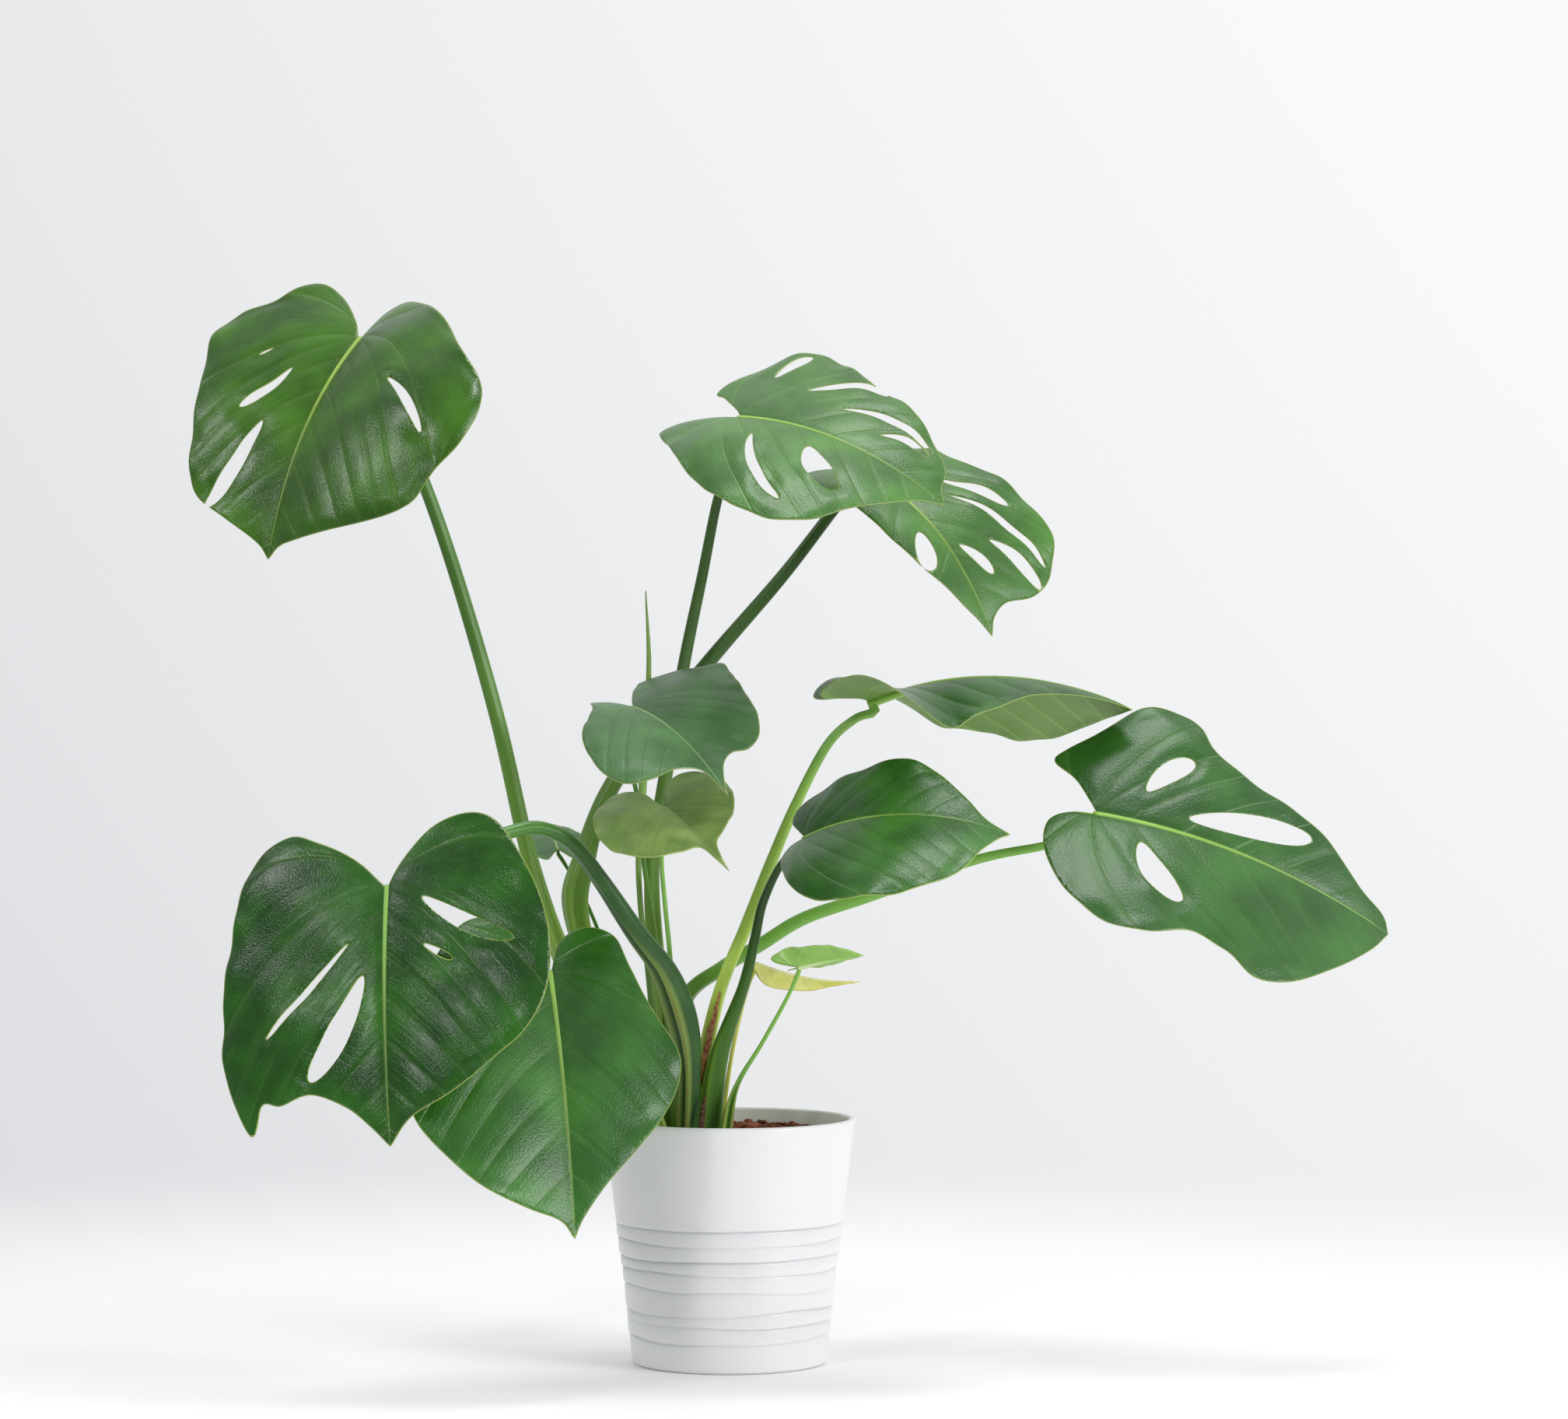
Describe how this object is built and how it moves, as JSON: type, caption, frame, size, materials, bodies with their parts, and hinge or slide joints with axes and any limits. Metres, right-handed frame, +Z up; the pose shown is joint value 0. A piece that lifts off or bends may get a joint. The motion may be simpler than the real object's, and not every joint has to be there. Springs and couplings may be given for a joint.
{
  "type": "potted monstera plant",
  "caption": "Living split-leaf monstera with long arching stalks and holed leaves, growing in a ribbed white ceramic cover pot; stands on a shelf or table.",
  "frame": {"origin": "centre of the pot's flat base, on the surface that it stands on", "axes": "+Z up along the pot's axis; the plant's widest spread is along X, and its front is -Y"},
  "size_m": [0.8022, 0.3196, 0.7282],
  "materials": {
    "glazed_pot": "satin white glaze",
    "potting_mix": "loose, damp and crumbly",
    "bark": "rough bark",
    "green_blade": "waxy, glossy top face",
    "yellow_blade": "satin, fading leaf",
    "green_stalk": "smooth satin",
    "pale_stalk": "smooth satin",
    "dry_sheath": "dry and papery"
  },
  "bodies": {
    "root": {"pot": "glazed_pot", "soil": "potting_mix", "bark_chip_1": "bark", "bark_chip_2": "bark", "bark_chip_3": "bark", "new_leaf_spike": "pale_stalk", "main_stem": "green_stalk", "aerial_root": "bark", "dry_sheath": "dry_sheath", "leaf_high_left": "green_blade", "stalk_high_left": "green_stalk", "leaf_top": "green_blade", "stalk_top": "green_stalk", "leaf_top_right": "green_blade", "stalk_top_right": "green_stalk", "leaf_right_flat": "green_blade", "stalk_right_flat": "pale_stalk", "leaf_right_mid": "green_blade", "stalk_right_mid": "green_stalk", "leaf_far_right": "green_blade", "stalk_far_right": "green_stalk", "leaf_low_left": "green_blade", "stalk_low_left": "green_stalk", "leaf_low_centre": "green_blade", "stalk_low_centre": "green_stalk", "leaf_small_centre": "green_blade", "stalk_small_centre": "green_stalk", "leaf_small_low": "green_blade", "stalk_small_low": "green_stalk", "leaf_small_right": "green_blade", "stalk_small_right": "pale_stalk", "leaf_yellow": "yellow_blade", "stalk_yellow": "pale_stalk", "leaf_behind": "green_blade", "stalk_behind": "green_stalk"}
  },
  "joints": []
}
